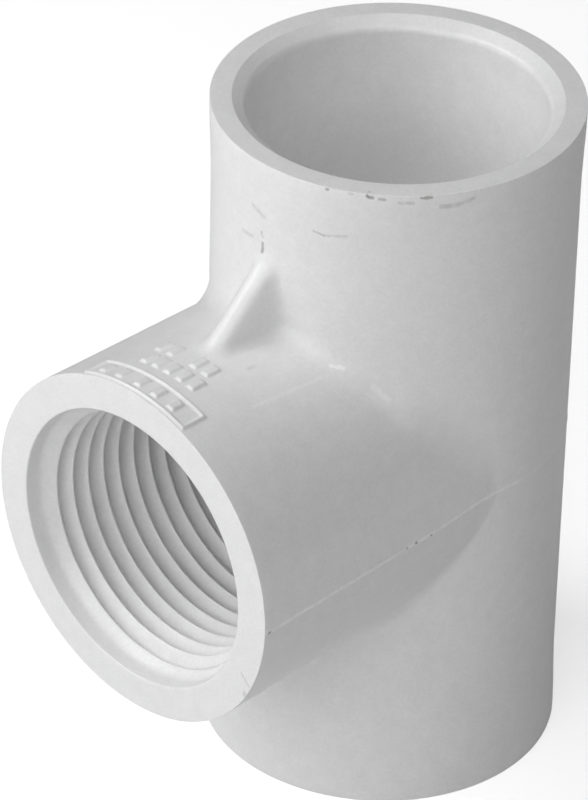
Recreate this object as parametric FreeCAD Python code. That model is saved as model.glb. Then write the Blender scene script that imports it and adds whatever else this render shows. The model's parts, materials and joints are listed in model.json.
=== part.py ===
import FreeCAD, Part
import math
import os

# Pipe tee for 3/4 in. PVC pressure pipe: a straight run with a plain socket at each end and a
# branch with a tapered internal pipe thread. The real fitting is one injection moulding, so the
# model is one solid, built from an outer skin minus its cavities.
#
# Frame: millimetres. The origin is where the two bore axes cross. +Z runs up the run, and the
# branch points along -Y.

V = FreeCAD.Vector
ORIGIN = V(0, 0, 0)
X_AXIS = V(1, 0, 0)
Y_AXIS = V(0, 1, 0)
Z_AXIS = V(0, 0, 1)

# ---- driving dimensions ----
RUN_HALF_LENGTH = 32.6      # origin to either end face of the run
RUN_RADIUS = 16.35          # outside of the run between its mouths
RUN_MOUTH_RADIUS = 16.55    # outside of the run at its end faces
FLARE_LENGTH = 8.0          # stretch over which the run widens to its mouth
BRANCH_REACH = 32.4         # origin to the branch's end face
BRANCH_ROOT_RADIUS = 16.05  # outside of the branch, taken on the run's axis
BRANCH_MOUTH_RADIUS = 16.6  # outside of the branch at its end face
EDGE_BREAK = 0.25           # chamfer on the outer rims

SOCKET_RADIUS = 13.36       # mean of the tapered solvent-weld socket
SOCKET_DEPTH = 18.3         # end face to the pipe stop
BEVEL_RADIUS = 14.6         # entry bevel, at the end face
BEVEL_DEPTH = 1.15
WATERWAY_RADIUS = 10.5

COUNTERBORE_RADIUS = 13.3   # plain stretch in front of the thread
COUNTERBORE_DEPTH = 1.6
THREAD_PITCH = 25.4 / 14    # fourteen threads per inch
THREAD_TAPER = 1 / 32       # change of radius per unit of length, the 1:16 pipe taper
CREST_RADIUS = 12.0         # thread crest, carried on to the end face
THREAD_HEIGHT = 1.28        # crest to root
CREST_DEPTH_AT_TOP = 3.015  # end face to the first whole crest, at the top of the bore
GROOVE_COUNT = 9            # grooves below that crest, counted at the top of the bore
ROOT_FLAT = 0.16            # width of the flat at the bottom of the groove
FLANK_ANGLE = math.radians(30)
THREAD_RUN_OUT = 0.9        # plain bore left between the last groove and the waterway

GUSSET_TOP_Z = 23.0         # ridge meets the run's wall
GUSSET_FOOT_Y = -23.3       # ridge meets the branch's wall
GUSSET_RIDGE_RADIUS = 0.72
GUSSET_DRAFT = math.radians(13)

MARK_HEIGHT = 0.3           # raised marks on top of the branch, a plain pattern of bars
MARK_LINE = 0.35            # width of the frame's line
MARK_FRAME_HALF_ANGLE = 21.5
MARK_FRAME_SPAN = (0.75, 3.25)           # from the branch's end face
MARK_FRAME_BARS = (-16, -9, -1, 6, 13)   # degrees from the top, towards +X
MARK_ROWS = (                            # (nearest and furthest from the end face, bar angles)
    (4.2, 5.9, (-10, -5, 0, 5, 10)),
    (6.5, 8.2, (-12, -7, 3, 8)),
)
MARK_BAR_HALF_ANGLE = 1.5

OVERRUN = 1.0               # how far a cutting tool passes the face it starts from


def revolved(outline, axis):
    """Solid of revolution about Z, from (radius, height) corners, turned to point along axis."""
    corners = [V(radius, 0, height) for radius, height in outline]
    face = Part.Face(Part.makePolygon(corners + corners[:1]))
    solid = face.revolve(ORIGIN, Z_AXIS, 360)
    solid.Placement = FreeCAD.Placement(ORIGIN, FreeCAD.Rotation(Z_AXIS, axis))
    return solid


def run_skin():
    """Outside of the run: a straight barrel that widens a little at both mouths."""
    half = [
        (RUN_RADIUS, RUN_HALF_LENGTH - FLARE_LENGTH),
        (RUN_MOUTH_RADIUS, RUN_HALF_LENGTH - EDGE_BREAK),
        (RUN_MOUTH_RADIUS - EDGE_BREAK, RUN_HALF_LENGTH),
        (0, RUN_HALF_LENGTH),
    ]
    mirrored = [(radius, -height) for radius, height in reversed(half)]
    return revolved(mirrored + half, Z_AXIS)


def branch_skin():
    """Outside of the branch: a barrel with a degree of draft, widest at its mouth."""
    outline = [
        (0, 0),
        (BRANCH_ROOT_RADIUS, 0),
        (BRANCH_MOUTH_RADIUS, BRANCH_REACH - EDGE_BREAK),
        (BRANCH_MOUTH_RADIUS - EDGE_BREAK, BRANCH_REACH),
        (0, BRANCH_REACH),
    ]
    return revolved(outline, -Y_AXIS)


def branch_radius_at(from_face):
    """Outside radius of the branch at a distance from its end face."""
    share = from_face / BRANCH_REACH
    return BRANCH_MOUTH_RADIUS + share * (BRANCH_ROOT_RADIUS - BRANCH_MOUTH_RADIUS)


def mirrored_in_x(point):
    """The same point on the other side of the plane of the two axes."""
    return V(-point.x, point.y, point.z)


def gusset_side(top, foot):
    """The gusset's triangle seen from the side, as a slab wider than the gusset."""
    bite = 1.0              # how far its corners are sunk into the walls
    aside = X_AXIS * 6
    ridge = (top - foot).normalize()
    inner = V(0, -RUN_RADIUS + bite, BRANCH_ROOT_RADIUS - bite)
    corners = [top + ridge * bite - aside, foot - ridge * bite - aside, inner - aside]
    face = Part.Face(Part.makePolygon(corners + corners[:1]))
    return face.extrude(aside * 2)


def gusset_wedge(top, foot):
    """A long rib with a round ridge and drafted flanks, laid along the gusset's ridge line."""
    along = (top - foot).normalize()
    outward = X_AXIS.cross(along)
    overhang = 4.0          # past each end of the ridge
    depth = 9.0             # ridge to base, deeper than the crotch
    crown = foot - along * overhang
    centre = crown - outward * GUSSET_RIDGE_RADIUS
    side = X_AXIS * math.cos(GUSSET_DRAFT) + outward * math.sin(GUSSET_DRAFT)
    shoulder = centre + side * GUSSET_RIDGE_RADIUS
    base = shoulder + X_AXIS * (depth * math.tan(GUSSET_DRAFT)) - outward * depth
    edges = [
        Part.Arc(mirrored_in_x(shoulder), crown, shoulder).toShape(),
        Part.makeLine(shoulder, base),
        Part.makeLine(base, mirrored_in_x(base)),
        Part.makeLine(mirrored_in_x(base), mirrored_in_x(shoulder)),
    ]
    length = (top - foot).Length + 2 * overhang
    return Part.Face(Part.Wire(edges)).extrude(along * length)


def gusset():
    """Rib in the upper crotch, in the plane of the two axes."""
    top = V(0, -RUN_RADIUS, GUSSET_TOP_Z)
    foot = V(0, GUSSET_FOOT_Y, branch_radius_at(BRANCH_REACH + GUSSET_FOOT_Y))
    return gusset_side(top, foot).common(gusset_wedge(top, foot))


def mark(near, far, middle, half_angle):
    """One raised bar on the branch: a slice of a thin ring, angles in degrees from the top."""
    radius = branch_radius_at((near + far) / 2)
    start = V(0, near - BRANCH_REACH, 0)
    sunk = 1.0              # into the wall
    length = far - near
    outer = Part.makeCylinder(radius + MARK_HEIGHT, length, start, Y_AXIS, 2 * half_angle)
    bar = outer.cut(Part.makeCylinder(radius - sunk, length, start, Y_AXIS))
    # a sector about +Y starts on +Z and turns towards +X
    bar.rotate(ORIGIN, Y_AXIS, middle - half_angle)
    return bar


def mark_frame():
    """A long rectangular outline beside the branch's mouth."""
    near, far = MARK_FRAME_SPAN
    line_half_angle = math.degrees(MARK_LINE / BRANCH_MOUTH_RADIUS) / 2
    end_angle = MARK_FRAME_HALF_ANGLE - line_half_angle
    return [
        mark(near, near + MARK_LINE, 0, MARK_FRAME_HALF_ANGLE),
        mark(far - MARK_LINE, far, 0, MARK_FRAME_HALF_ANGLE),
        mark(near, far, -end_angle, line_half_angle),
        mark(near, far, end_angle, line_half_angle),
    ]


def raised_marks():
    """The frame, the bars inside it and the two rows of bars behind it."""
    near, far = MARK_FRAME_SPAN
    inset = 2 * MARK_LINE
    bars = mark_frame()
    for angle in MARK_FRAME_BARS:
        bars.append(mark(near + inset, far - inset, angle, MARK_BAR_HALF_ANGLE))
    for row_near, row_far, angles in MARK_ROWS:
        for angle in angles:
            bars.append(mark(row_near, row_far, angle, MARK_BAR_HALF_ANGLE))
    return bars


def socket(axis):
    """Cavity of one pipe socket: the entry bevel and the plain wall down to the pipe stop."""
    slope = (BEVEL_RADIUS - SOCKET_RADIUS) / BEVEL_DEPTH
    outline = [
        (0, RUN_HALF_LENGTH - SOCKET_DEPTH),
        (SOCKET_RADIUS, RUN_HALF_LENGTH - SOCKET_DEPTH),
        (SOCKET_RADIUS, RUN_HALF_LENGTH - BEVEL_DEPTH),
        (BEVEL_RADIUS + slope * OVERRUN, RUN_HALF_LENGTH + OVERRUN),
        (0, RUN_HALF_LENGTH + OVERRUN),
    ]
    return revolved(outline, axis)


def crest_radius_at(depth):
    """Radius of the thread's crests at a depth from the branch's end face."""
    return CREST_RADIUS - depth * THREAD_TAPER


def thread_end_depth():
    """Where the threaded stretch stops, from the branch's end face."""
    return CREST_DEPTH_AT_TOP + GROOVE_COUNT * THREAD_PITCH + THREAD_RUN_OUT


def branch_bore():
    """Cavity of the branch before the thread: counterbore, 45 degree lead-in, taper bore."""
    end_depth = thread_end_depth()
    lead_in_depth = COUNTERBORE_RADIUS - crest_radius_at(COUNTERBORE_DEPTH)
    crest_start = COUNTERBORE_DEPTH + lead_in_depth
    step = crest_radius_at(end_depth) - WATERWAY_RADIUS
    outline = [
        (0, BRANCH_REACH - end_depth - step),
        (WATERWAY_RADIUS, BRANCH_REACH - end_depth - step),
        (crest_radius_at(end_depth), BRANCH_REACH - end_depth),
        (crest_radius_at(crest_start), BRANCH_REACH - crest_start),
        (COUNTERBORE_RADIUS, BRANCH_REACH - COUNTERBORE_DEPTH),
        (COUNTERBORE_RADIUS, BRANCH_REACH + OVERRUN),
        (0, BRANCH_REACH + OVERRUN),
    ]
    return revolved(outline, -Y_AXIS)


def thread_groove():
    """Right-hand V groove on the pipe taper, swept from the deep end out past the lead-in."""
    first_depth = CREST_DEPTH_AT_TOP + (GROOVE_COUNT - 0.5) * THREAD_PITCH
    # the sweep starts on +X, a quarter turn before the top of the bore
    start_height = BRANCH_REACH - first_depth - THREAD_PITCH / 4
    start_depth = BRANCH_REACH - start_height
    crest = crest_radius_at(start_depth)
    root = crest + THREAD_HEIGHT
    clear = 0.3             # how far the tool starts inside the crests
    root_half = ROOT_FLAT / 2
    mouth_half = root_half + (THREAD_HEIGHT + clear) * math.tan(FLANK_ANGLE)
    corners = [
        V(crest - clear, 0, -mouth_half),
        V(root, 0, -root_half),
        V(root, 0, root_half),
        V(crest - clear, 0, mouth_half),
    ]
    profile = Part.makePolygon(corners + corners[:1])
    height = start_depth - COUNTERBORE_DEPTH / 2
    cone_angle = math.degrees(math.atan(THREAD_TAPER))
    helix = Part.makeLongHelix(THREAD_PITCH, height, crest, cone_angle)
    groove = Part.Wire(helix).makePipeShell([profile], True, True)
    groove.translate(V(0, 0, start_height))
    groove.rotate(ORIGIN, X_AXIS, 90)
    return groove


def waterway():
    """Plain passages that join the three mouths."""
    reach = RUN_HALF_LENGTH - SOCKET_DEPTH + OVERRUN
    through = Part.makeCylinder(WATERWAY_RADIUS, 2 * reach, V(0, 0, -reach), Z_AXIS)
    to_branch = Part.makeCylinder(
        WATERWAY_RADIUS, BRANCH_REACH - thread_end_depth(), ORIGIN, -Y_AXIS
    )
    return [through, to_branch]


def tee_body():
    """The whole moulding."""
    skin = run_skin().fuse([branch_skin(), gusset()] + raised_marks()).removeSplitter()
    cavity = waterway() + [socket(Z_AXIS), socket(-Z_AXIS), branch_bore()]
    return skin.cut(cavity).cut(thread_groove())


def main():
    os.makedirs("parts", exist_ok=True)
    body = tee_body()
    body.exportStep("parts/tee_body.step")


main()
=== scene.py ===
import json
import math

import bpy
import bmesh
import numpy as np
from mathutils import Matrix, Vector


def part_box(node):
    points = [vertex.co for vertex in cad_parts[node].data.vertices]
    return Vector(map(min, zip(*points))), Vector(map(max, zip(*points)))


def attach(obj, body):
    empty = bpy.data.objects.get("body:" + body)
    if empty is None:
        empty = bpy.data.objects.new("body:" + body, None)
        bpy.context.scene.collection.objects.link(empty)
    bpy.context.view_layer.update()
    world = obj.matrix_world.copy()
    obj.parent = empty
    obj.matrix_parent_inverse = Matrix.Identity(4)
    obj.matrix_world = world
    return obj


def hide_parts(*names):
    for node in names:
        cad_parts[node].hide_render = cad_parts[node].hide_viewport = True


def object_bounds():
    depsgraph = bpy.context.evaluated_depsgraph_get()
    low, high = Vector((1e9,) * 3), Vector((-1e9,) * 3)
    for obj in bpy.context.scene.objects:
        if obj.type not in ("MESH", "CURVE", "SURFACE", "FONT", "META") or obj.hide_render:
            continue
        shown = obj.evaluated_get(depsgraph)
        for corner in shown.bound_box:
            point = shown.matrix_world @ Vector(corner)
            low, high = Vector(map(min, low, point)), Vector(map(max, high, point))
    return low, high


# The fitting is one moulding, so it is one closed mesh on the body "root". It is built from loops
# of points in millimetres: the outside of the run, the branch and the rib with the raised marks and
# the parting line, the sockets, the helical thread and the crossing bores. Frame: the origin is
# where the bore axes cross, +Z is up the run and -Y is out of the branch.

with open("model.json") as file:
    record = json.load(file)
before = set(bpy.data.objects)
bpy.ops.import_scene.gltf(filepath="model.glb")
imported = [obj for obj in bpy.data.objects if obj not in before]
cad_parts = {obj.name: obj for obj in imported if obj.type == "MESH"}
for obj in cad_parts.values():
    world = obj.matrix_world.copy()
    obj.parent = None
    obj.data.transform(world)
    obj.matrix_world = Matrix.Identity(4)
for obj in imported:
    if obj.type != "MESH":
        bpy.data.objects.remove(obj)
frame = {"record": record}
cad_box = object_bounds()

MM = 0.001
mounts = {m["name"]: m for m in frame["record"]["mounts"]}
low, high = (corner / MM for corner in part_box("tee_body"))

# ---- driving dimensions, millimetres ----
RUN_HALF_LENGTH = high.z
RUN_MOUTH_RADIUS = high.y
RUN_RADIUS = RUN_MOUTH_RADIUS - 0.2
FLARE_LENGTH = 8.0          # length over which the run widens to its mouth
BRANCH_REACH = -low.y
BRANCH_MOUTH_RADIUS = high.x
BRANCH_ROOT_RADIUS = BRANCH_MOUTH_RADIUS - 0.55
RIM_ROUND = 0.04            # rounding of the outer rims

SOCKET_RADIUS = mounts["socket_upper"]["dims"]["r_mm"]
SOCKET_FLOOR = mounts["socket_upper"]["pos_m"][2] / MM
BEVEL_RADIUS = SOCKET_RADIUS + 1.24
BEVEL_DEPTH = 0.9
BEVEL_EDGE_ROUND = 0.09     # rounding where the bevel meets the end face
BEVEL_ROUND = 0.8           # rounding where it meets the socket
STEP_ROUND = 0.35           # rounding at the socket's stop
WATERWAY_RADIUS = mounts["waterway"]["dims"]["r_mm"]
COUNTERBORE_RADIUS = mounts["branch_counterbore"]["dims"]["r_mm"]
COUNTERBORE_DEPTH = mounts["branch_counterbore"]["dims"]["length_mm"]
MOUTH_ROUND = 0.12          # rounding of the branch's inner edges

THREAD_PITCH = 25.4 / 14
THREAD_TAPER = 1 / 32       # radius lost per length
CREST_RADIUS = 12.0         # thread crest, carried on to the end face
THREAD_HEIGHT = 1.65        # height of the straight flank, before crest and root are rounded
CREST_HALF = 0.088          # half width of the flat on a crest
ROOT_HALF = 0.08            # half width of the flat in a root
CREST_DEPTH_AT_TOP = 3.015  # depth of the first crest at the top of the branch
GROOVE_COUNT = 9
GROOVE_START = -0.62        # middle of the groove where it starts, in turns from the first crest
GROOVE_END = GROOVE_COUNT + 0.1
GROOVE_EASE = 0.35          # turns over which the groove starts and ends
THREAD_RUN_OUT = 0.9        # plain stretch after the last groove

# the rib's ridge runs from its top on the run to its foot on the branch
RIB_TOP = np.array([0.0, -RUN_RADIUS, 23.0])
RIB_FOOT = np.array([0.0, -23.3, BRANCH_ROOT_RADIUS + 0.395])
RIB_RIDGE_RADIUS = 1.3
RIB_DRAFT = math.radians(13)
RIB_DEPTH = 9.0             # how far the rib carries on below its ridge
RIB_BLEND = 0.75
RIB_ZONE = 4.6              # points this near to the middle plane may lie on the rib
CROTCH_BLEND = 2.0
SHOULDER_BLEND = 8.0        # the blend is wider on the branch's upper sides
SHOULDER_START = 10.5       # distance aside where it starts to widen
SHOULDER_WIDTH = 4.5        # distance over which it widens
BORE_BLEND = 0.45

MARK_HEIGHT = 0.22
MARK_LINE = 0.35            # width of the frame's lines
MARK_FRAME_HALF_ANGLE = 21.5            # degrees from the top of the branch
MARK_FRAME_SPAN = (0.25, 3.1)           # depths from the end face
MARK_FRAME_BARS = (-16, -9, -1, 6, 13)  # degrees
MARK_ROWS = (                           # two depths, and the bars between them
    (4.2, 5.9, (-10, -5, 0, 5, 10)),
    (6.5, 8.2, (-12, -7, 3, 8)),
)
MARK_BAR_HALF_ANGLE = 1.5
MARKS_DEPTH = 8.8           # the rows of the mesh are close together as far as this

PART_LINE_HEIGHT = 0.12
PART_LINE_HALF = 0.19
PART_LINE_FAINT = 0.25      # share of it left on the run
FAINT_FROM, FAINT_TO = -2.5, 1.0        # stretch of Y where it gets fainter
DROP_FROM, DROP_TO = -4.0, -12.0        # stretch of Y where it drops
PART_LINE_DROP = 0.33       # how far the line sits below the middle of the branch

BORE_COLUMNS = 144
# distances from a crest where the thread has rows: a flank facing inwards, then one facing the mouth
ROWS_PAST_CREST = (0.0, 0.05, 0.11, 0.18, 0.27, 0.40, 0.60, 0.77)
ROWS_BEFORE_CREST = (0.80, 0.68, 0.52, 0.36, 0.22, 0.13, 0.06)
CREST_ROUND = 0.45
ROOT_ROUND = 0.8
LEAD_IN_ROUND = 0.3
LEAD_IN_START = 1.0         # depth where the counterbore starts to curve into the lead-in


def eased(share):
    """A share held to 0 to 1 and eased in and out."""
    share = np.clip(share, 0, 1)
    return share * share * (3 - 2 * share)


# ---- a closed surface made of loops ----
class Shell:
    """Collects the vertices and faces of one closed surface, in millimetres."""

    def __init__(self):
        self.points = []
        self.count = 0
        self.faces = []

    def add(self, points):
        """Adds points, n by 3, and returns their indices."""
        points = np.asarray(points, float).reshape(-1, 3)
        first = self.count
        self.points.append(points)
        self.count += len(points)
        return np.arange(first, self.count)

    def band(self, one, other):
        """Quads between two closed loops of the same length."""
        quads = np.stack([one, np.roll(one, -1), np.roll(other, -1), other], 1)
        self.faces += quads.tolist()

    def tube(self, loops):
        """Quads along a list of closed loops of the same length."""
        for one, other in zip(loops, loops[1:]):
            self.band(one, other)

    def angles(self, loop, right, up):
        """The loop turned to start at its smallest angle, and its angles, about an axis."""
        points = np.concatenate(self.points)[loop]
        angle = np.mod(np.arctan2(points @ right, points @ up), 2 * math.pi)
        order = np.argsort(angle)
        return loop[order], angle[order]

    def zipper(self, one, other, right, up):
        """Triangles between two loops of different length that lie on one flat face."""
        a, a_angle = self.angles(one, right, up)
        b, b_angle = self.angles(other, right, up)
        a_angle = np.append(a_angle, a_angle[0] + 2 * math.pi)
        b_angle = np.append(b_angle, b_angle[0] + 2 * math.pi)
        i = j = 0
        while i < len(a) or j < len(b):
            from_a, from_b = a[i % len(a)], b[j % len(b)]
            step_a = j == len(b) or (i < len(a) and a_angle[i + 1] < b_angle[j + 1])
            if step_a:
                i += 1
                self.faces.append([from_a, a[i % len(a)], from_b])
            else:
                j += 1
                self.faces.append([from_a, b[j % len(b)], from_b])

    def mesh(self, name):
        """A smooth-shaded Blender object in metres, its faces turned outwards."""
        data = bpy.data.meshes.new(name)
        points = np.concatenate(self.points) * MM
        data.from_pydata(points.tolist(), [], [[int(v) for v in face] for face in self.faces])
        data.validate()
        work = bmesh.new()
        work.from_mesh(data)
        bmesh.ops.recalc_face_normals(work, faces=work.faces)
        work.to_mesh(data)
        work.free()
        data.shade_smooth()
        piece = bpy.data.objects.new(name, data)
        bpy.context.scene.collection.objects.link(piece)
        return piece


def rounded(outline, segments=4, guard=0.04):
    """Corners (radius, height, rounding) of a turned profile, with arcs put in at the corners.

    Each arc has a guard point just outside either end, so that smooth shading stays on the arc.
    """
    corners = [np.array(corner[:2], float) for corner in outline]
    points = [corners[0]]
    for before, here, after, corner in zip(corners, corners[1:], corners[2:], outline[1:]):
        back = (before - here) / np.linalg.norm(before - here)
        ahead = (after - here) / np.linalg.norm(after - here)
        half = math.acos(max(-1, min(1, float(back @ ahead)))) / 2
        reach = corner[2] / math.tan(half)
        middle = here + (back + ahead) / np.linalg.norm(back + ahead) * corner[2] / math.sin(half)
        start = here + back * reach - middle
        end = here + ahead * reach - middle
        sweep = math.pi - 2 * half
        points.append(here + back * (reach + guard))
        for step in range(segments + 1):
            part = step / segments
            a = math.sin((1 - part) * sweep) / math.sin(sweep)
            b = math.sin(part * sweep) / math.sin(sweep)
            points.append(middle + start * a + end * b)
        points.append(here + ahead * (reach + guard))
    return points + [corners[-1]]


def ring(radius, height, angles, axis):
    """Points of a circle. On axis "z" angles run from -Y towards +X, on "-y" from +Z towards +X."""
    height = np.broadcast_to(height, np.shape(angles))
    radius = np.broadcast_to(radius, np.shape(angles))
    if axis == "z":
        return np.stack([radius * np.sin(angles), -radius * np.cos(angles), height], -1)
    return np.stack([radius * np.sin(angles), -height, radius * np.cos(angles)], -1)


# ---- the outside as distances to its surfaces ----
def run_radius(height):
    """Outside radius of the run at a height above the branch's axis."""
    share = (np.abs(height) - RUN_HALF_LENGTH + FLARE_LENGTH) / FLARE_LENGTH
    return RUN_RADIUS + (RUN_MOUTH_RADIUS - RUN_RADIUS) * eased(share)


def branch_radius(reach):
    """Outside radius of the branch at a distance from the run's axis."""
    return BRANCH_ROOT_RADIUS + (BRANCH_MOUTH_RADIUS - BRANCH_ROOT_RADIUS) * reach / BRANCH_REACH


def joined(one, other, radius):
    """Distance to two solids together, their inner corner filled to a radius."""
    a = np.maximum(radius - one, 0)
    b = np.maximum(radius - other, 0)
    return np.maximum(radius, np.minimum(one, other)) - np.hypot(a, b)


def crossing_blend(p, radius):
    """What joined() needs for a blend of a true radius between two crossed tubes.

    It is the whole radius where the walls cross squarely, and falls to none where they touch.
    """
    about_z = np.hypot(p[:, 0], p[:, 1])
    about_y = np.hypot(p[:, 0], p[:, 2])
    cosine = np.clip(p[:, 0] ** 2 / np.maximum(about_z * about_y, 1e-9), 0, 1)
    share = (1 - np.sqrt((1 + cosine) / 2)) / (1 - math.sqrt(0.5))
    return np.maximum(radius * share, 1e-6)


def blend_radius(p):
    """Radius wanted for the blend of the outer walls: wider towards the branch's upper sides."""
    aside = eased((np.abs(p[:, 0]) - SHOULDER_START) / SHOULDER_WIDTH)
    above = eased(p[:, 2] / 2)
    return CROTCH_BLEND + (SHOULDER_BLEND - CROTCH_BLEND) * aside * above


def rib_gap(p):
    """Distance to the rib in the upper crotch: a round ridge with drafted flanks."""
    along = (RIB_TOP - RIB_FOOT) / np.linalg.norm(RIB_TOP - RIB_FOOT)
    outward = np.cross([1.0, 0.0, 0.0], along)
    height = (p - RIB_TOP) @ outward + RIB_RIDGE_RADIUS
    aside = np.abs(p[:, 0])
    on_flank = aside * math.sin(RIB_DRAFT) - height * math.cos(RIB_DRAFT) > 0
    flank = aside * math.cos(RIB_DRAFT) + height * math.sin(RIB_DRAFT)
    ridge = np.hypot(aside, height)
    gap = np.where(on_flank, flank, ridge) - RIB_RIDGE_RADIUS
    return np.maximum(gap, -(height + RIB_DEPTH))


def outer_gap(p):
    """Distance to the outside of the run, the branch and the rib, blended together."""
    run = np.hypot(p[:, 0], p[:, 1]) - run_radius(p[:, 2])
    branch = np.maximum(np.hypot(p[:, 0], p[:, 2]) - branch_radius(-p[:, 1]), p[:, 1])
    walls = joined(run, branch, crossing_blend(p, blend_radius(p)))
    return joined(walls, rib_gap(p), RIB_BLEND)


def bore_gap(p):
    """Distance to the two crossed bores, blended together."""
    run = np.hypot(p[:, 0], p[:, 1]) - WATERWAY_RADIUS
    branch = np.maximum(np.hypot(p[:, 0], p[:, 2]) - WATERWAY_RADIUS, p[:, 1])
    return joined(run, branch, crossing_blend(p, BORE_BLEND))


def settle(p, direction, reach, gap, inwards=0.5, halvings=34):
    """Moves points along their directions on to the surface where gap is zero."""
    outside = p + direction * reach[:, None]
    inside = p - direction * inwards
    for _ in range(halvings):
        middle = (outside + inside) / 2
        out = (gap(middle) > 0)[:, None]
        outside = np.where(out, middle, outside)
        inside = np.where(out, inside, middle)
    return (outside + inside) / 2


def normals(p, gap):
    """Unit normals of the surface where gap is zero."""
    step = 0.01
    slopes = []
    for axis in np.eye(3):
        slopes.append(gap(p + axis * step) - gap(p - axis * step))
    slope = np.stack(slopes, 1)
    return slope / np.linalg.norm(slope, axis=1, keepdims=True)


# ---- small relief on the outside ----
def raised(inside, foot=0.06, edge=0.2):
    """Height share of a raised patch, from the distance inside its edge."""
    return eased((inside + foot) / edge)


def bar(angle, depth, middle, half_angle, near, far):
    """Distance inside one bar of the marks, angles in degrees from the top of the branch."""
    per_degree = math.radians(1) * BRANCH_MOUTH_RADIUS
    across = (half_angle - np.abs(angle - middle)) * per_degree
    lengthways = np.minimum(depth - near, far - depth)
    return np.minimum(across, lengthways)


def marks(p):
    """Height of the raised marks beside the branch's mouth: a frame and rows of plain bars."""
    angle = np.degrees(np.arctan2(p[:, 0], p[:, 2]))
    depth = BRANCH_REACH + p[:, 1]
    near, far = MARK_FRAME_SPAN
    line_half_angle = math.degrees(MARK_LINE / BRANCH_MOUTH_RADIUS) / 2
    frame_end = MARK_FRAME_HALF_ANGLE - line_half_angle
    patches = [
        bar(angle, depth, 0, MARK_FRAME_HALF_ANGLE, near, near + MARK_LINE),
        bar(angle, depth, 0, MARK_FRAME_HALF_ANGLE, far - MARK_LINE, far),
        bar(angle, depth, -frame_end, line_half_angle, near, far),
        bar(angle, depth, frame_end, line_half_angle, near, far),
    ]
    inset = 2 * MARK_LINE
    for middle in MARK_FRAME_BARS:
        patches.append(bar(angle, depth, middle, MARK_BAR_HALF_ANGLE, near + inset, far - inset))
    for row_near, row_far, middles in MARK_ROWS:
        for middle in middles:
            patches.append(bar(angle, depth, middle, MARK_BAR_HALF_ANGLE, row_near, row_far))
    return MARK_HEIGHT * raised(np.max(patches, axis=0))


def parting_line(p):
    """Height of the mould's parting line, the bead where the two halves met."""
    y = p[:, 1]
    waver = 1 + 0.35 * np.sin(y * 2.3) * np.sin(y * 0.9 + 1)    # uneven along its length
    faint = 1 - (1 - PART_LINE_FAINT) * eased((y - FAINT_FROM) / (FAINT_TO - FAINT_FROM))
    off_line = p[:, 2] + PART_LINE_DROP * eased((y - DROP_FROM) / (DROP_TO - DROP_FROM))
    return PART_LINE_HEIGHT * waver * faint * np.exp(-(off_line / PART_LINE_HALF) ** 2)


def outer_place(p, direction):
    """Points of the outside settled on the blended skin and given their relief."""
    rib_height, blend_height = 7.5, 2.5
    reach = np.where(np.abs(p[:, 0]) < RIB_ZONE, rib_height, blend_height)
    p = settle(p, direction, reach, outer_gap)
    return p + normals(p, outer_gap) * (marks(p) + parting_line(p))[:, None]


def bore_place(p, direction):
    """Points of the crossed bores settled on their blended wall."""
    return settle(p, direction, np.full(len(p), 1.5), bore_gap)


# ---- columns and rows of the crossed tubes ----
def eased_steps(start, end, first, growth, largest):
    """Values from start to end whose steps grow from first, by a factor, up to largest."""
    values = [0.0]
    step = first
    while values[-1] < end - start:
        values.append(values[-1] + step)
        step = min(step * growth, largest)
    return start + np.array(values) / values[-1] * (end - start)


def mirrored(half):
    """A list from 0 up, carried on to both sides."""
    return np.concatenate([-half[:0:-1], half])


def junction(angles, run, branch):
    """Where the lines of the branch at these angles meet the run."""
    reach = np.full(np.shape(angles), run)
    for _ in range(20):
        radius = branch(reach)
        reach = np.sqrt(np.maximum(run ** 2 - (radius * np.sin(angles)) ** 2, 0))
    return np.stack([radius * np.sin(angles), -reach, radius * np.cos(angles)], -1)


def bisector(points):
    """Direction half way between the normals of the two tubes, at points of their junction."""
    about_z = points * [1, 1, 0]
    about_y = points * [1, 0, 1]
    total = about_z / np.linalg.norm(about_z, axis=1, keepdims=True)
    total = total + about_y / np.linalg.norm(about_y, axis=1, keepdims=True)
    return total / np.linalg.norm(total, axis=1, keepdims=True)


def curved_columns(start, lean, end, near, far_count, samples=120):
    """Lines on an unrolled tube from start to end, both (around, along) in millimetres.

    Each leaves at an angle of lean from the tube's axis and arrives along it. Its points are at
    the distances in near, then far_count even steps to the end.
    """
    t = np.linspace(0, 1, samples)[None, :, None]
    pull = np.linalg.norm(end - start, axis=1)[:, None, None]
    ahead = np.sign(end[:, 1] - start[:, 1])
    leave = np.stack([np.sin(lean), ahead * np.cos(lean)], -1)[:, None]
    arrive = np.stack([0 * lean, ahead], -1)[:, None]
    s, e = start[:, None], end[:, None]
    line = (2 * t ** 3 - 3 * t ** 2 + 1) * s + (t ** 3 - 2 * t ** 2 + t) * leave * pull
    line = line + (3 * t ** 2 - 2 * t ** 3) * e + (t ** 3 - t ** 2) * arrive * pull
    gaps = np.linalg.norm(np.diff(line, axis=1), axis=2)
    travelled = np.concatenate([np.zeros((len(gaps), 1)), np.cumsum(gaps, axis=1)], axis=1)
    columns = []
    for way, course in zip(travelled, line):
        rest = np.linspace(near[-1], way[-1], far_count + 1)[1:]
        wanted = np.concatenate([near, rest])
        around = np.interp(wanted, way, course[:, 0])
        along = np.interp(wanted, way, course[:, 1])
        columns.append(np.stack([around, along], -1))
    return np.stack(columns)


def fan(front_share, back_count, spread):
    """Angles of a run's columns at its end: the front ones within spread, the rest behind."""
    even = np.linspace(-1, 1, len(front_share))
    front = spread * (0.6 * front_share + 0.4 * even)
    back = np.linspace(spread, 2 * math.pi - spread, back_count + 1)[1:-1]
    return np.concatenate([front, back])


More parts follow.
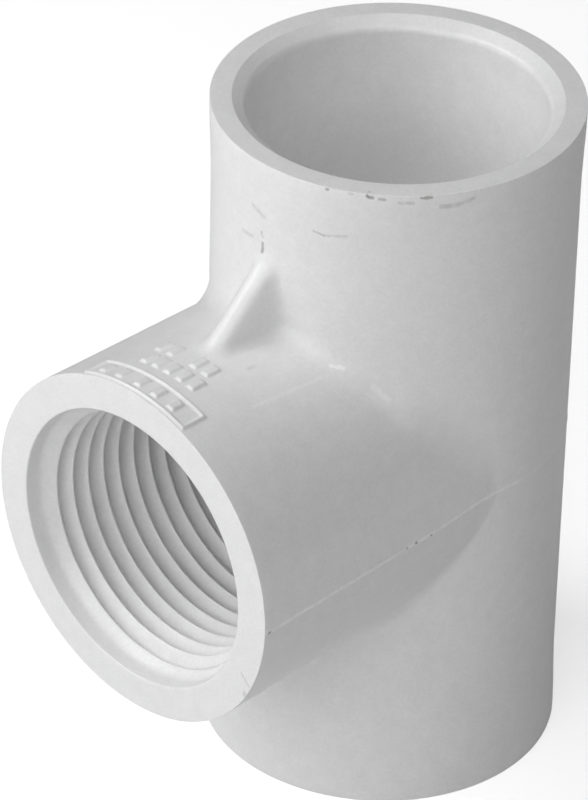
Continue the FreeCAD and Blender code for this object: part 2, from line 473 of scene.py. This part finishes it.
def lay_run(shell, start_ids, start, share, direction, plan):
    """One half of the run, from the junction to its end. Returns its loops and end angles."""
    radius, place = plan["run"], plan["place"]
    around = np.arctan2(start[:, 0], -start[:, 1])
    around = np.where(np.arange(len(around)) >= len(share), np.mod(around, 2 * math.pi), around)
    back_count = len(start) - len(share) + 1
    end_angles = fan(share, back_count, plan["spread"])
    lean_front = plan["lean"] * np.sign(share) * share ** 2
    lean_back = np.linspace(plan["lean"], -plan["lean"], back_count + 1)[1:-1]
    lean = np.concatenate([lean_front, lean_back])
    unit = radius(0.0)
    ends = np.stack([unit * end_angles, np.full(len(start), plan["run_end"])], -1)
    starts = np.stack([unit * around, start[:, 2]], -1)
    columns = curved_columns(starts, lean, ends, plan["near"], plan["far_count"])
    loops = [start_ids]
    for row in range(1, columns.shape[1]):
        angle, height = columns[:, row, 0] / unit, columns[:, row, 1]
        points = ring(radius(height), height, angle, "z")
        loops.append(shell.add(place(points, direction)))
    return loops, end_angles


def lay_branch(shell, start_ids, start, angles, direction, plan):
    """The branch, from the junction to its end. Returns its loops."""
    reaches = [-start[:, 1] + step for step in plan["branch_near"][1:]]
    first = reaches[-1]
    steps = plan["branch_between"]
    for step in range(1, steps):
        reaches.append(first + (plan["branch_rows"][0] - first) * step / steps)
    for reach in plan["branch_rows"]:
        reaches.append(np.full(len(start), reach))
    loops = [start_ids]
    for reach in reaches:
        points = ring(plan["branch"](reach), reach, angles, "-y")
        loops.append(shell.add(plan["place"](points, direction)))
    return loops


def lay_crossing(shell, plan):
    """Two crossed tubes that share one ring of vertices. Returns the ends of all three arms."""
    place = plan["place"]
    unit = plan["run"](0.0)
    top = junction(plan["upper"], unit, plan["branch"])
    bottom = junction(plan["lower"], unit, plan["branch"])[1:-1]
    side = math.atan2(top[-1, 0], -top[-1, 1])
    back = ring(unit, 0.0, np.linspace(side, 2 * math.pi - side, plan["back"] + 1)[1:-1], "z")
    top_ids = shell.add(place(top, bisector(top)))
    bottom_ids = shell.add(place(bottom, bisector(bottom)))
    back_ids = shell.add(place(back, back / unit))

    front_ids = np.concatenate([top_ids[:1], bottom_ids[::-1], top_ids[-1:]])
    front = np.concatenate([top[:1], bottom[::-1], top[-1:]])
    quarter = math.pi / 2
    upper_share = plan["upper"] / quarter
    lower_share = (2 * quarter - plan["lower"][::-1]) / quarter
    halves = (
        (1, top_ids, top, upper_share),
        (-1, front_ids, front, lower_share),
    )
    arms = []
    for sign, ids, points, share in halves:
        half = dict(plan, run_end=sign * plan["run_end"])
        arms.append(lay_run(
            shell,
            np.concatenate([ids, back_ids]),
            np.concatenate([points, back]),
            share,
            np.concatenate([bisector(points), back / unit]),
            half,
        ))
    points = np.concatenate([top, bottom])
    angles = np.concatenate([plan["upper"], plan["lower"][1:-1]])
    ids = np.concatenate([top_ids, bottom_ids])
    branch = lay_branch(shell, ids, points, angles, bisector(points), plan)
    for loops in (arms[0][0], arms[1][0], branch):
        shell.tube(loops)
    return {
        "upper": (arms[0][0][-1], arms[0][1]),
        "lower": (arms[1][0][-1], arms[1][1]),
        "branch": (branch[-1], angles),
    }


def outer_plan():
    """Columns and rows of the outside: close together at the marks, the rib and the blend."""
    degree = math.radians(1)
    # columns near the parting line, which is at 90 degrees or a little more
    upper_line = np.array([88.7, 89.15, 89.6, 90]) * degree
    lower_line = np.array([87.7, 88.15, 88.5, 88.75, 89, 89.3, 89.65, 90]) * degree
    fine = np.arange(0, 23.2, 0.38) * degree
    coarse = eased_steps(fine[-1], 88.35 * degree, 0.4 * degree, 1.12, 2.6 * degree)[1:]
    upper = mirrored(np.concatenate([fine, coarse, upper_line]))
    low_half = eased_steps(0, 87.2 * degree, 2.8 * degree, 1.0, 2.8 * degree)
    low_half = np.concatenate([low_half, lower_line])
    lower = mirrored(low_half) + math.pi
    return {
        "run": run_radius,
        "branch": branch_radius,
        "upper": upper,
        "lower": lower,
        "back": 64,
        "place": outer_place,
        "spread": math.radians(112),
        "lean": math.radians(45),
        "near": eased_steps(0, 8.6, 0.1, 1.06, 0.32),
        "far_count": 16,
        "run_end": RUN_HALF_LENGTH - 0.5,
        "branch_near": eased_steps(0, 6.0, 0.1, 1.1, 0.34),
        "branch_between": 6,
        "branch_rows": np.linspace(BRANCH_REACH - MARKS_DEPTH, BRANCH_REACH - 0.2, 77),
    }


def bore_plan(branch_end):
    """Columns and rows of the crossed waterways."""
    half = np.linspace(-math.pi / 2, math.pi / 2, BORE_COLUMNS // 2 + 1)
    return {
        "run": lambda height: WATERWAY_RADIUS + 0 * height,
        "branch": lambda reach: WATERWAY_RADIUS + 0 * reach,
        "upper": half,
        "lower": half + math.pi,
        "back": BORE_COLUMNS // 2,
        "place": bore_place,
        "spread": math.pi / 2,
        "lean": 0.0,
        "near": np.array([0, 0.08, 0.18, 0.3, 0.45, 0.65]),
        "far_count": 9,
        "run_end": SOCKET_FLOOR - 1.1,
        "branch_near": np.array([0, 0.08, 0.18, 0.3, 0.42]),
        "branch_between": 6,
        "branch_rows": np.array([branch_end]),
    }


# ---- mouths, sockets and thread ----
def turned(shell, profile, angles, axis):
    """Loops of a turned surface, one for each (radius, height) of its profile."""
    return [shell.add(ring(radius, height, angles, axis)) for radius, height in profile]


def rim(shell, last_loop, angles, radius, height, axis):
    """Rounds the outer rim off on to the end face. Returns the loop on the face."""
    inward = -math.copysign(1, height)
    corners = [
        (radius, height + inward),
        (radius, height, RIM_ROUND),
        (radius - 1, height),
    ]
    loops = turned(shell, rounded(corners)[1:-1], angles, axis)
    shell.tube([last_loop] + loops)
    return loops[-1]


def socket_profile(sign):
    """Profile of a socket, from the end face to the waterway."""
    corners = [
        (BEVEL_RADIUS + 0.4, RUN_HALF_LENGTH),
        (BEVEL_RADIUS, RUN_HALF_LENGTH, BEVEL_EDGE_ROUND),
        (SOCKET_RADIUS, RUN_HALF_LENGTH - BEVEL_DEPTH, BEVEL_ROUND),
        (SOCKET_RADIUS, SOCKET_FLOOR, STEP_ROUND),
        (WATERWAY_RADIUS, SOCKET_FLOOR, STEP_ROUND),
        (WATERWAY_RADIUS, SOCKET_FLOOR - 1.0),
    ]
    return [(radius, sign * height) for radius, height in rounded(corners)]


def crest_radius(depth):
    """Radius of the thread's crests at a depth from the branch's end face."""
    return CREST_RADIUS - depth * THREAD_TAPER


def thread_end():
    """Where the threaded stretch stops, from the branch's end face."""
    return CREST_DEPTH_AT_TOP + GROOVE_COUNT * THREAD_PITCH + THREAD_RUN_OUT


def rounded_ramp(value, rounding):
    """The larger of value and nought, with the corner rounded off."""
    return (value + np.sqrt(value * value + rounding * rounding)) / 2


def lead_in_radius(depth):
    """Radius of the counterbore and of the 45 degree lead-in that follows it."""
    return COUNTERBORE_RADIUS - rounded_ramp(depth - COUNTERBORE_DEPTH, LEAD_IN_ROUND)


def groove_depth(up_flank):
    """Depth of the groove from the height up its straight flank, crest and root rounded off."""
    return rounded_ramp(up_flank, CREST_ROUND) - rounded_ramp(up_flank - THREAD_HEIGHT, ROOT_ROUND)


def thread_radius(angle, depth):
    """Radius of the threaded bore at an angle and a depth from the branch's end face."""
    turns = (depth - CREST_DEPTH_AT_TOP) / THREAD_PITCH - angle / (2 * math.pi)
    off_crest = np.abs(turns - np.round(turns)) * THREAD_PITCH
    slope = THREAD_HEIGHT / (THREAD_PITCH / 2 - CREST_HALF - ROOT_HALF)
    groove = groove_depth((off_crest - CREST_HALF) * slope) - groove_depth(-CREST_HALF * slope)
    # the groove starts and ends shallow
    middle = np.floor(turns) + 0.5 + angle / (2 * math.pi)
    since_start = (middle - GROOVE_START) / GROOVE_EASE
    until_end = (GROOVE_END - middle) / GROOVE_EASE
    groove = groove * eased(np.minimum(since_start, until_end))
    threaded = crest_radius(depth) + groove
    return threaded + rounded_ramp(lead_in_radius(depth) - threaded, MOUTH_ROUND)


def thread(shell, angles, start_loop, end_loop):
    """Threaded bore between two loops. Its rows follow the helix, so crests and roots are clean."""
    before = THREAD_PITCH - np.array(ROWS_BEFORE_CREST)
    offsets = np.concatenate([ROWS_PAST_CREST, [THREAD_PITCH / 2], before])
    per_turn = len(offsets)
    margin = 0.02
    first = LEAD_IN_START + margin
    last = thread_end() - margin
    turns = range(-3, GROOVE_COUNT + 4)
    columns = []
    for angle in angles:
        row_depths = {}
        for turn in turns:
            for row, offset in enumerate(offsets):
                depth = CREST_DEPTH_AT_TOP + THREAD_PITCH * (turn + angle / (2 * math.pi)) + offset
                if first < depth < last:
                    row_depths[turn * per_turn + row] = depth
        depths = np.array(list(row_depths.values()))
        radii = thread_radius(angle, depths)
        points = ring(radii, BRANCH_REACH - depths, np.full(len(depths), angle), "-y")
        ids = shell.add(points)
        columns.append(dict(zip(row_depths, ids.tolist())))
    wrapped = {row - per_turn: vertex for row, vertex in columns[0].items()}
    columns.append(wrapped)
    starts = np.append(start_loop, start_loop[0])
    ends = np.append(end_loop, end_loop[0])
    for i in range(len(angles)):
        stitch(shell.faces, columns[i], columns[i + 1], starts[i:i + 2], ends[i:i + 2])


def stitch(faces, one, other, starts, ends):
    """Faces between two neighbouring columns of the thread, whose first and last rows may differ."""
    first, other_first = min(one), min(other)
    last, other_last = max(one), max(other)
    if other_first < first:
        faces.append([starts[0], starts[1], other[other_first]])
        faces.append([starts[0], other[other_first], other[first], one[first]])
    else:
        faces.append([starts[0], starts[1], other[first], one[first]])
    for row in range(first, other_last):
        faces.append([one[row], other[row], other[row + 1], one[row + 1]])
    if last > other_last:
        faces.append([one[other_last], other[other_last], ends[1], one[last]])
        faces.append([one[last], ends[1], ends[0]])
    else:
        faces.append([one[last], other[last], ends[1], ends[0]])


def make_tee():
    """The whole moulding as one closed mesh."""
    shell = Shell()
    x_axis, y_axis, z_axis = np.eye(3)
    outside = lay_crossing(shell, outer_plan())

    bore_end = WATERWAY_RADIUS + 0.5
    bores = lay_crossing(shell, bore_plan(bore_end))
    for arm, sign in (("upper", 1), ("lower", -1)):
        outer_loop, outer_angles = outside[arm]
        face_loop = rim(shell, outer_loop, outer_angles, RUN_MOUTH_RADIUS, sign * RUN_HALF_LENGTH, "z")
        bore_loop, bore_angles = bores[arm]
        loops = turned(shell, socket_profile(sign), bore_angles, "z")
        shell.zipper(face_loop, loops[0], x_axis, -y_axis)
        shell.tube(loops + [bore_loop])

    outer_loop, outer_angles = outside["branch"]
    face_loop = rim(shell, outer_loop, outer_angles, BRANCH_MOUTH_RADIUS, BRANCH_REACH, "-y")
    bore_loop, bore_angles = bores["branch"]
    wall_depth = 0.25
    wall = lead_in_radius(wall_depth)
    mouth = rounded([
        (wall + 0.5, BRANCH_REACH),
        (wall, BRANCH_REACH, MOUTH_ROUND),
        (wall, BRANCH_REACH - wall_depth),
    ])
    for depth in (0.4, 0.6, 0.8, LEAD_IN_START):
        mouth.append((lead_in_radius(depth), BRANCH_REACH - depth))
    mouth_loops = turned(shell, mouth, bore_angles, "-y")
    shell.zipper(face_loop, mouth_loops[0], x_axis, z_axis)
    shell.tube(mouth_loops)
    last_crest = crest_radius(thread_end())
    inner = BRANCH_REACH - thread_end()
    step = rounded([
        (last_crest, inner),
        (last_crest - 0.01, inner - 0.18, MOUTH_ROUND),
        (WATERWAY_RADIUS, inner - 0.95, MOUTH_ROUND),
        (WATERWAY_RADIUS, bore_end + 0.02),
    ])
    step_loops = turned(shell, step, bore_angles, "-y")
    shell.tube(step_loops + [bore_loop])
    thread(shell, bore_angles, mouth_loops[-1], step_loops[0])
    return shell.mesh("tee_moulding")


tee = make_tee()
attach(tee, "root")
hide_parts("tee_body")


# ---- material ----
class Nodes:
    """Short calls for building a node tree."""

    def __init__(self, tree):
        self.tree = tree
        tree.nodes.clear()

    def node(self, kind, inputs=None, **settings):
        """A node with its settings and inputs; an input is a value or another node's output."""
        made = self.tree.nodes.new(kind)
        for name, value in settings.items():
            setattr(made, name, value)
        for key, value in (inputs or {}).items():
            if isinstance(value, bpy.types.NodeSocket):
                self.tree.links.new(value, made.inputs[key])
            else:
                made.inputs[key].default_value = value
        return made

    def math(self, operation, *values, clamp=False):
        inputs = dict(enumerate(values))
        return self.node("ShaderNodeMath", inputs, operation=operation, use_clamp=clamp).outputs[0]

    def hypot(self, one, other):
        squares = self.math("ADD", self.math("MULTIPLY", one, one), self.math("MULTIPLY", other, other))
        return self.math("SQRT", squares)

    def vector(self, operation, *values):
        made = self.node("ShaderNodeVectorMath", dict(enumerate(values)), operation=operation)
        return made.outputs["Value" if operation in ("DOT_PRODUCT", "DISTANCE") else "Vector"]

    def remap(self, value, low_in, high_in, low_out=0.0, high_out=1.0):
        """Eased change from low_out to high_out as value goes from low_in to high_in."""
        inputs = {"Value": value, 1: low_in, 2: high_in, 3: low_out, 4: high_out}
        made = self.node("ShaderNodeMapRange", inputs, interpolation_type="SMOOTHSTEP")
        return made.outputs[0]

    def noise(self, place, size, detail=3.0, roughness=0.55):
        """Noise whose grain is about size millimetres, 0 to 1."""
        inputs = {"Vector": place, "Scale": 1 / size, "Detail": detail, "Roughness": roughness}
        return self.node("ShaderNodeTexNoise", inputs).outputs[0]


BASE_TONE = 0.752           # darkest shade of the clean plastic
CLOUDY_TONE = 0.09          # what the mottling adds to it
GRAIN_TONE = 0.12           # what the fine grain adds
PALE_AND_HIGHLIGHT_TONE = 0.16            # what the parting line and the painted highlights add
DIRT = (0.20, 0.19, 0.18, 1)
PART_LINE_INNER = 15.3      # its tint starts this far out, so it stays off the bores

# Dark scuffs, and painted highlights on the branch: from (degrees, millimetres) to (degrees,
# millimetres), width, strength. On the run the angle is from -Y towards +X with the height; on the
# branch it is from +Z towards +X with the distance from the end face, and on that face with minus the
# distance in from its edge. Widths are half widths in millimetres.
RUN_SCUFFS = (
    (-5.5, 27.8, -0.5, 27.2, 0.30, 0.20),
    (-10.5, 24.4, -5.5, 24.5, 0.25, 0.20),
    (18.0, 27.8, 21.5, 27.6, 0.16, 0.40),
    (21.5, 27.6, 28.5, 28.0, 0.15, 0.22),
    (-1.0, 24.4, -1.0, 23.6, 0.25, 0.55),
    (-1.5, 25.5, -1.0, 25.1, 0.22, 0.30),
    (22.0, 32.4, 22.5, 32.4, 0.20, 0.60),
    (29.0, 32.4, 30.0, 32.4, 0.20, 0.22),
    (34.5, 32.4, 36.0, 32.3, 0.24, 0.85),
    (38.0, 32.2, 39.5, 32.2, 0.20, 0.45),
    (44.0, 31.9, 48.0, 31.9, 0.22, 0.25),
    (50.5, 32.4, 53.5, 32.4, 0.20, 0.60),
    (56.5, 31.4, 61.5, 31.4, 0.32, 0.30),
    (61.5, 31.4, 66.5, 31.8, 0.26, 0.24),
)
BRANCH_SCUFFS = (
    (91.0, 17.8, 91.0, 17.9, 0.18, 0.70),
    (91.0, 19.0, 91.0, 19.1, 0.18, 0.70),
    (91.5, 20.9, 91.5, 21.0, 0.18, 0.70),
    (91.5, 0.4, 91.5, 0.6, 0.19, 0.75),
    (13.5, 10.4, 13.5, 11.0, 0.20, 0.18),
    (113.0, -1.5, 115.0, -0.2, 0.11, 0.30),
    (119.0, -0.2, 120.0, -0.1, 0.26, 0.35),
)
# painted highlights: light strokes on the branch's upper side, most of them along its blend into the
# run
BRANCH_PAINTED_HIGHLIGHTS = (
    (25.5, 7.7, 28.0, 16.5, 0.22, 0.28),
    (14.5, 16.9, 21.5, 17.9, 0.32, 0.45),
    (26.0, 17.0, 29.0, 17.8, 0.18, 1.00),
    (38.0, 19.3, 44.0, 20.1, 0.30, 0.45),
)


def stroke_group():
    """Node group: how much of a short stroke covers a place on an unrolled surface."""
    group = bpy.data.node_groups.new("stroke", "ShaderNodeTree")
    n = Nodes(group)
    for name in ("Place", "From", "To"):
        group.interface.new_socket(name, in_out="INPUT", socket_type="NodeSocketVector")
    for name in ("Width", "Strength"):
        group.interface.new_socket(name, in_out="INPUT", socket_type="NodeSocketFloat")
    group.interface.new_socket("Cover", in_out="OUTPUT", socket_type="NodeSocketFloat")
    given = n.node("NodeGroupInput").outputs
    along = n.vector("SUBTRACT", given["To"], given["From"])
    offset = n.vector("SUBTRACT", given["Place"], given["From"])
    ahead = n.vector("DOT_PRODUCT", offset, along)
    travelled = n.math("DIVIDE", ahead, n.vector("DOT_PRODUCT", along, along))
    part = n.math("MULTIPLY", travelled, 1.0, clamp=True)
    foot = n.node("ShaderNodeVectorMath", {0: along, "Scale": part}, operation="SCALE").outputs[0]
    gap = n.math("DIVIDE", n.vector("DISTANCE", offset, foot), given["Width"])
    cover = n.math("MULTIPLY", n.remap(gap, 1.0, 0.35), given["Strength"])
    n.node("NodeGroupOutput", {"Cover": cover})
    return group


def strokes(n, group, place, unit_radius, rows):
    """The strongest cover of a table of strokes at a place."""
    total = 0.0
    for angle, along, angle_to, along_to, width, strength in rows:
        inputs = {
            "Place": place,
            "From": (math.radians(angle) * unit_radius, along, 0),
            "To": (math.radians(angle_to) * unit_radius, along_to, 0),
            "Width": width,
            "Strength": strength,
        }
        made = n.node("ShaderNodeGroup", inputs, node_tree=group)
        total = n.math("MAXIMUM", total, made.outputs["Cover"])
    return total


def scuffs_and_painted_highlights(n, place, x, y, z):
    """Covers of the dark scuffs and of the painted highlights on the branch, each kept to the outside
    walls.
    """
    depth = n.math("ADD", y, BRANCH_REACH)
    about_z = n.hypot(x, y)
    about_y = n.hypot(x, z)
    on_face = n.math("LESS_THAN", depth, 0.1)
    outside_run = n.math("COMPARE", about_z, RUN_RADIUS + 0.1, 0.5)
    outside_branch = n.math("COMPARE", about_y, BRANCH_ROOT_RADIUS + 0.3, 0.9)
    outside_branch = n.math("MAXIMUM", outside_branch, on_face)

    # places on the unrolled run and branch, nudged by noise so that marks have ragged edges
    run_turn = n.math("ARCTAN2", x, n.math("MULTIPLY", y, -1.0))
    branch_turn = n.math("ARCTAN2", x, z)
    inwards = n.math("MAXIMUM", n.math("SUBTRACT", BRANCH_MOUTH_RADIUS - RIM_ROUND, about_y), 0.0)
    past_edge = n.math("SUBTRACT", depth, n.math("MULTIPLY", on_face, inwards))
    on_run = {"X": n.math("MULTIPLY", run_turn, RUN_RADIUS), "Y": z}
    on_branch = {"X": n.math("MULTIPLY", branch_turn, BRANCH_MOUTH_RADIUS), "Y": past_edge}
    ragged = n.node("ShaderNodeTexNoise", {"Vector": place, "Scale": 2.6, "Detail": 3.0})
    nudge = n.vector("SUBTRACT", ragged.outputs["Color"], (0.5, 0.5, 0.5))
    nudge = n.vector("MULTIPLY", nudge, (0.3, 0.3, 0.0))
    on_run = n.vector("ADD", n.node("ShaderNodeCombineXYZ", on_run).outputs[0], nudge)
    on_branch = n.vector("ADD", n.node("ShaderNodeCombineXYZ", on_branch).outputs[0], nudge)

    group = stroke_group()
    dark_run = strokes(n, group, on_run, RUN_RADIUS, RUN_SCUFFS)
    dark_run = n.math("MULTIPLY", dark_run, outside_run)
    dark_branch = strokes(n, group, on_branch, BRANCH_MOUTH_RADIUS, BRANCH_SCUFFS)
    dark_branch = n.math("MULTIPLY", dark_branch, outside_branch)
    speckle = n.remap(n.noise(place, 0.5, 2.0), 0.36, 0.56, 0.6, 1.0)
    dark = n.math("MULTIPLY", n.math("MAXIMUM", dark_run, dark_branch), speckle)
    # painted highlights on the branch's upper side and along its blend into the run
    light = strokes(n, group, on_branch, BRANCH_MOUTH_RADIUS, BRANCH_PAINTED_HIGHLIGHTS)
    return dark, n.math("MULTIPLY", light, outside_branch)


def parting_tint(n, place, x, y, z):
    """Cover of the parting line: broken up, faint on the run, and only on the outside walls."""
    drop = n.remap(y, DROP_FROM, DROP_TO, 0.0, PART_LINE_DROP)
    off_line = n.math("ABSOLUTE", n.math("ADD", z, drop))
    from_middle = n.hypot(x, n.math("MAXIMUM", y, 0.0))
    outside = n.math("GREATER_THAN", from_middle, PART_LINE_INNER)
    line = n.math("MULTIPLY", n.remap(off_line, 0.27, 0.09), outside)
    off_face = n.math("GREATER_THAN", n.math("ADD", y, BRANCH_REACH), 0.15)
    line = n.math("MULTIPLY", line, off_face)
    line = n.math("MULTIPLY", line, n.remap(y, FAINT_FROM, FAINT_TO, 1.0, PART_LINE_FAINT))
    broken = n.remap(n.noise(place, 0.9, 2.0), 0.35, 0.6, 0.3, 1.0)
    return n.math("MULTIPLY", line, broken)


def make_pvc():
    """Satin white rigid PVC: fine mottling, moulding waviness, wear, painted highlights, and the
    parting line.
    """
    material = bpy.data.materials.new("white_pvc")
    material.use_nodes = True
    n = Nodes(material.node_tree)
    place = n.node("ShaderNodeTexCoord").outputs["Object"]
    place = n.vector("MULTIPLY", place, (1 / MM,) * 3)
    axes = n.node("ShaderNodeSeparateXYZ", {"Vector": place}).outputs
    x, y, z = axes["X"], axes["Y"], axes["Z"]

    dark, light = scuffs_and_painted_highlights(n, place, x, y, z)
    # pale holds the parting line's tint together with the painted highlights
    pale = n.math("MAXIMUM", parting_tint(n, place, x, y, z), light)
    cloudy = n.noise(place, 1.6, 4.0)
    mottling = n.math("MULTIPLY", cloudy, CLOUDY_TONE)
    grain = n.math("MULTIPLY", n.noise(place, 0.3, 2.0), GRAIN_TONE)
    shade = n.math("ADD", n.math("ADD", mottling, grain), BASE_TONE)
    shade = n.math("ADD", shade, n.math("MULTIPLY", pale, PALE_AND_HIGHLIGHT_TONE))
    colour = n.node("ShaderNodeCombineColor", {0: shade, 1: shade, 2: n.math("ADD", shade, 0.002)})
    # a colour mix takes its two colours at inputs 6 and 7 and gives the result at output 2
    worn = n.node("ShaderNodeMix", {0: dark, 6: colour.outputs[0], 7: DIRT}, data_type="RGBA")

    wavy = n.noise(place, 7.0, 2.0)
    pebbled = n.noise(place, 0.3, 2.0)
    height = n.math("ADD", n.math("MULTIPLY", wavy, 0.06), n.math("MULTIPLY", pebbled, 0.008))
    bump = n.node("ShaderNodeBump", {"Height": height, "Distance": MM, "Strength": 1.0})

    inputs = {
        "Base Color": worn.outputs[2],
        "Roughness": n.remap(cloudy, 0.3, 0.7, 0.30, 0.42),
        "Normal": bump.outputs[0],
        "IOR": 1.52,
        "Subsurface Weight": 0.2,
        "Subsurface Radius": (1.0, 1.0, 1.0),
        "Subsurface Scale": 0.8 * MM,
    }
    surface = n.node("ShaderNodeBsdfPrincipled", inputs)
    n.node("ShaderNodeOutputMaterial", {"Surface": surface.outputs[0]})
    return material


tee.data.materials.append(make_pvc())


# ---- floor, light and camera ----
FLOOR_GLOW = 0.52           # lifts the floor towards white for the camera alone
FAR_LIGHT = 0.6             # metres from the origin, for most of the lights
FAR_LIGHT_SIZE = 0.35       # metres along a side


def make_floor():
    """A plain pale floor far wider than the picture."""
    half = 3.0              # metres
    data = bpy.data.meshes.new("floor")
    level = cad_box[0].z
    corners = [(-half, -half, level), (half, -half, level), (half, half, level), (-half, half, level)]
    data.from_pydata(corners, [], [(0, 1, 2, 3)])
    floor = bpy.data.objects.new("floor", data)
    bpy.context.scene.collection.objects.link(floor)
    material = bpy.data.materials.new("pale_floor")
    material.use_nodes = True
    n = Nodes(material.node_tree)
    matt = n.node("ShaderNodeBsdfPrincipled", {"Base Color": (0.9, 0.9, 0.9, 1), "Roughness": 0.9})
    seen = n.node("ShaderNodeLightPath").outputs["Is Camera Ray"]
    glow = n.node("ShaderNodeEmission", {"Strength": n.math("MULTIPLY", seen, FLOOR_GLOW)})
    both = n.node("ShaderNodeAddShader", {0: matt.outputs[0], 1: glow.outputs[0]})
    n.node("ShaderNodeOutputMaterial", {"Surface": both.outputs[0]})
    data.materials.append(material)


def pointing(azimuth, elevation):
    """Unit vector towards a place round the object: azimuth 0 is -Y, 90 is +X, in degrees."""
    a, e = math.radians(azimuth), math.radians(elevation)
    return Vector((math.sin(a) * math.cos(e), -math.cos(a) * math.cos(e), math.sin(e)))


def make_light(name, azimuth, elevation, power, distance=FAR_LIGHT, size=FAR_LIGHT_SIZE):
    """A square area light aimed at the origin; power in watts, lengths in metres."""
    lamp = bpy.data.lights.new(name, "AREA")
    lamp.size = size
    lamp.energy = power
    light = bpy.data.objects.new(name, lamp)
    bpy.context.scene.collection.objects.link(light)
    towards = pointing(azimuth, elevation)
    light.location = towards * distance
    light.rotation_mode = "QUATERNION"
    light.rotation_quaternion = towards.to_track_quat("Z", "Y")


def make_camera():
    """The picture's viewpoint: a long lens, above and to the right of the branch."""
    azimuth, elevation, roll = 43.89, 33.99, math.radians(1.41)
    distance, aside, above = 476.4 * MM, -8.50 * MM, 0.30 * MM
    back = pointing(azimuth, elevation)
    level = pointing(azimuth + 90, 0)
    upright = back.cross(level)
    right = level * math.cos(roll) + upright * math.sin(roll)
    up = upright * math.cos(roll) - level * math.sin(roll)
    data = bpy.data.cameras.new("camera")
    data.lens = 236.0
    camera = bpy.data.objects.new("camera", data)
    bpy.context.scene.collection.objects.link(camera)
    camera.matrix_world = Matrix((
        (right.x, up.x, back.x, 0),
        (right.y, up.y, back.y, 0),
        (right.z, up.z, back.z, 0),
        (0, 0, 0, 1),
    ))
    camera.location = back * distance + level * aside + upright * above
    data.clip_start = 0.01
    bpy.context.scene.camera = camera


def make_world():
    """Dim, even white surroundings."""
    world = bpy.data.worlds.new("surroundings")
    bpy.context.scene.world = world
    world.use_nodes = True
    n = Nodes(world.node_tree)
    shine = n.node("ShaderNodeBackground", {"Color": (1, 1, 1, 1), "Strength": 0.02})
    n.node("ShaderNodeOutputWorld", {"Surface": shine.outputs[0]})


make_floor()
make_light("key", -45, 50, 0.148, distance=0.25, size=0.1)
make_light("left", -45, 30, 0.77)
make_light("front", 27, 35, 0.88)
make_light("middle", -10, 30, 0.49)
make_light("low", 0, 7, 0.03, distance=0.23, size=0.12)
make_light("above", 62, 62, 0.33, size=0.3)
make_light("side", 106, 38, 0.30)
make_light("behind", 180, 40, 0.20)
make_light("fill", -160, 10, 0.25)
make_camera()
make_world()
bpy.context.scene.view_settings.view_transform = "Standard"
